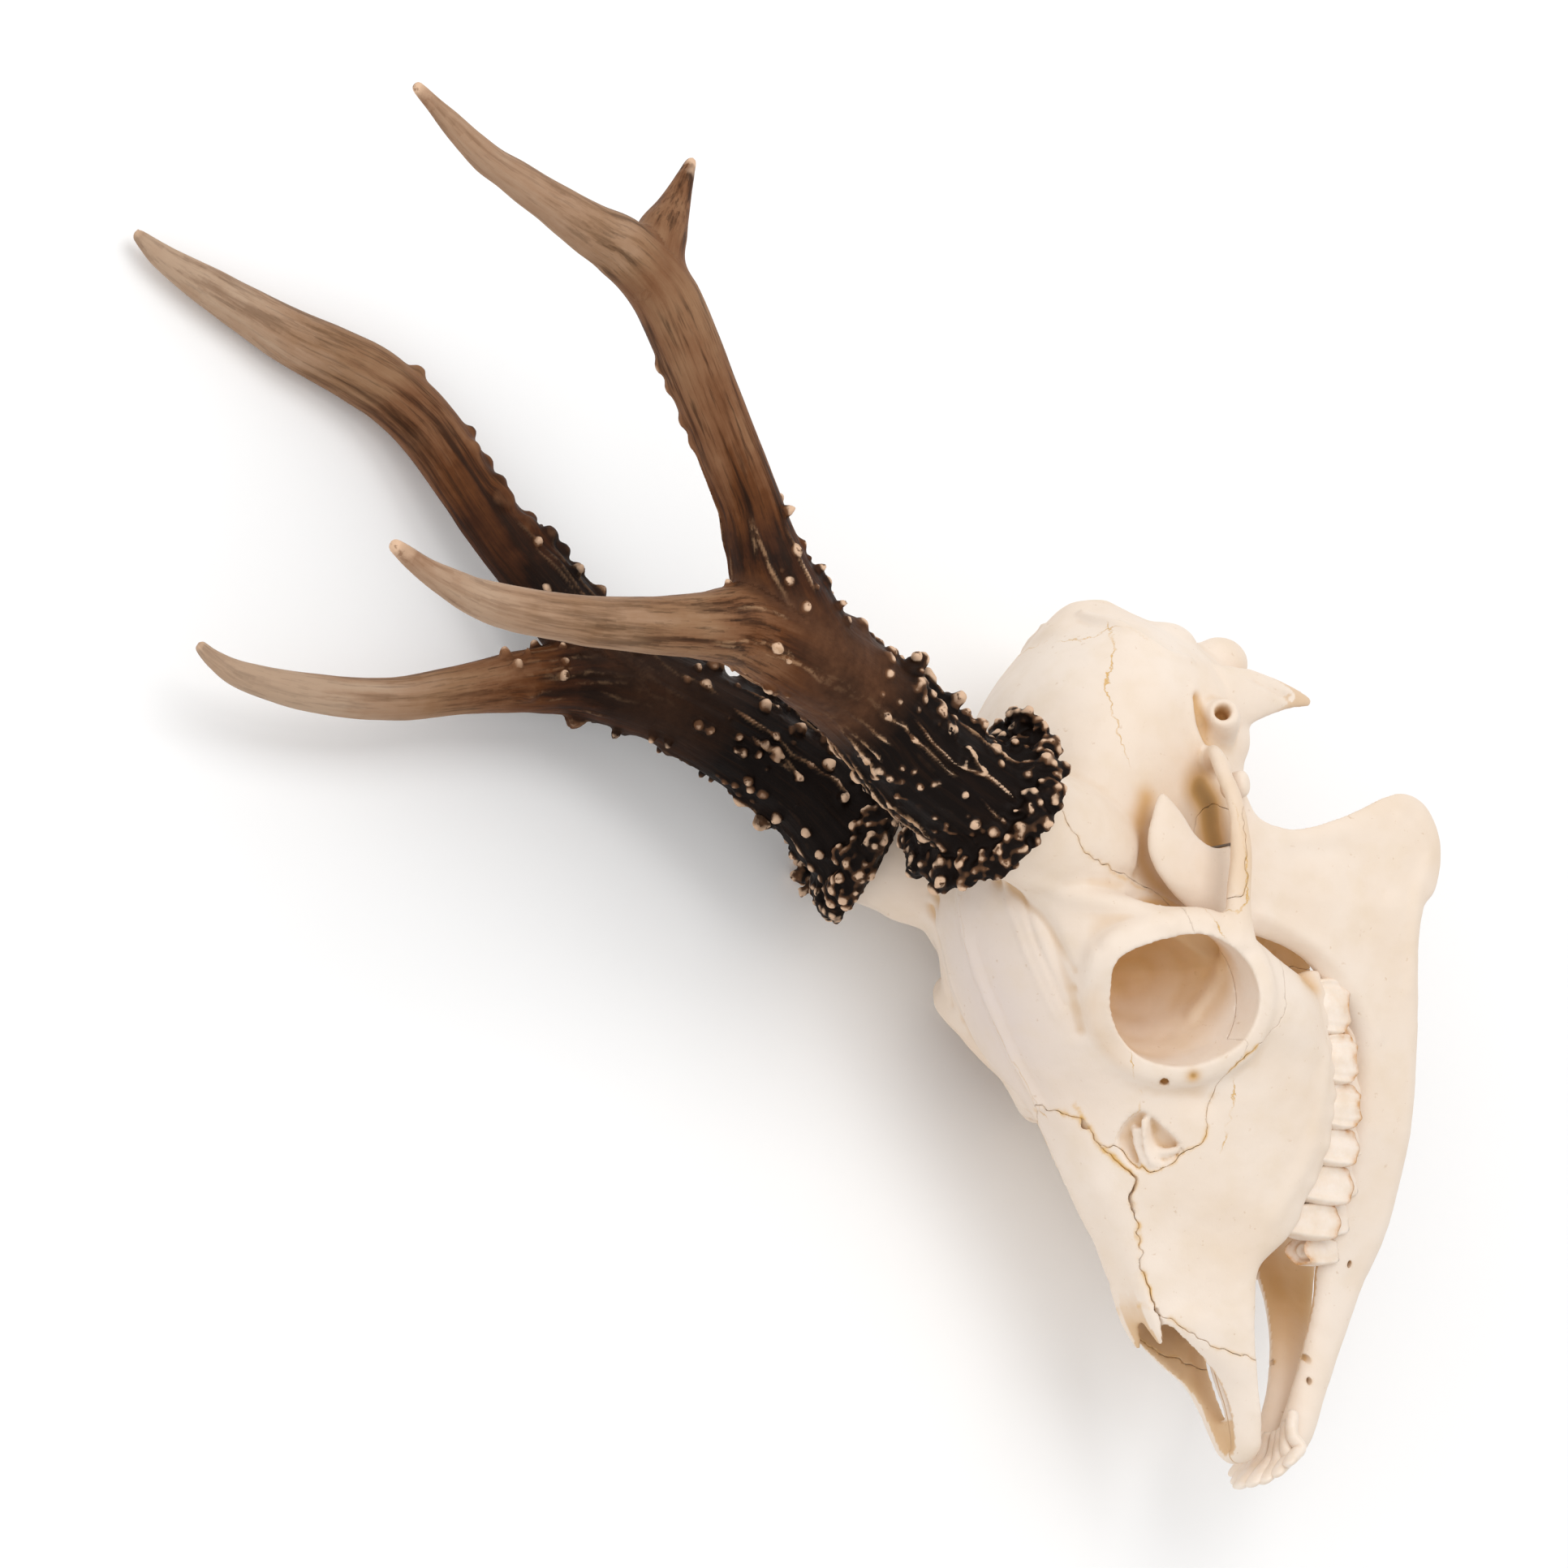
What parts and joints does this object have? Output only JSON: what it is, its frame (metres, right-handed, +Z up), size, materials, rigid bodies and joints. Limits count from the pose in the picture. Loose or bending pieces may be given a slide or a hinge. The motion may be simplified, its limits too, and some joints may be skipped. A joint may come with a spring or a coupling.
{
  "type": "roe deer skull",
  "caption": "Cleaned skull of a roebuck with both antlers and the lower jaw, a still, life-size museum model lying on its right cheek.",
  "frame": {"origin": "the middle of the bounding box's underside, on the surface that the skull lies on", "axes": "+Z up from the surface that it lies on, through the skull from its right side to its left; +X from the antler tips' side towards the lower jaw's edge; +Y away from the nose, towards the back of the skull"},
  "size_m": [0.313, 0.2792, 0.1256],
  "materials": {
    "bone": "cleaned, matt, warm ivory with tan hollows",
    "tooth": "enamel with a low gloss and amber stains",
    "antler": "nearly black brown, grooved and pearled, paler at the tips",
    "wire": "dull grey"
  },
  "bodies": {
    "root": {"braincase": "bone", "frontal_bones": "bone", "cheek_bone_left": "bone", "cheek_bone_right": "bone", "upper_jaw_left": "bone", "upper_jaw_right": "bone", "nasal_bones": "bone", "incisive_bone_left": "bone", "incisive_bone_right": "bone", "lower_jaw_left": "bone", "lower_jaw_right": "bone", "antler_left_beam": "antler", "antler_left_brow_tine": "antler", "antler_left_upper_beam": "antler", "antler_left_top_tine": "antler", "antler_left_rear_tine": "antler", "antler_right_beam": "antler", "antler_right_brow_tine": "antler", "antler_right_upper_beam": "antler", "antler_right_top_tine": "antler"}
  },
  "joints": []
}
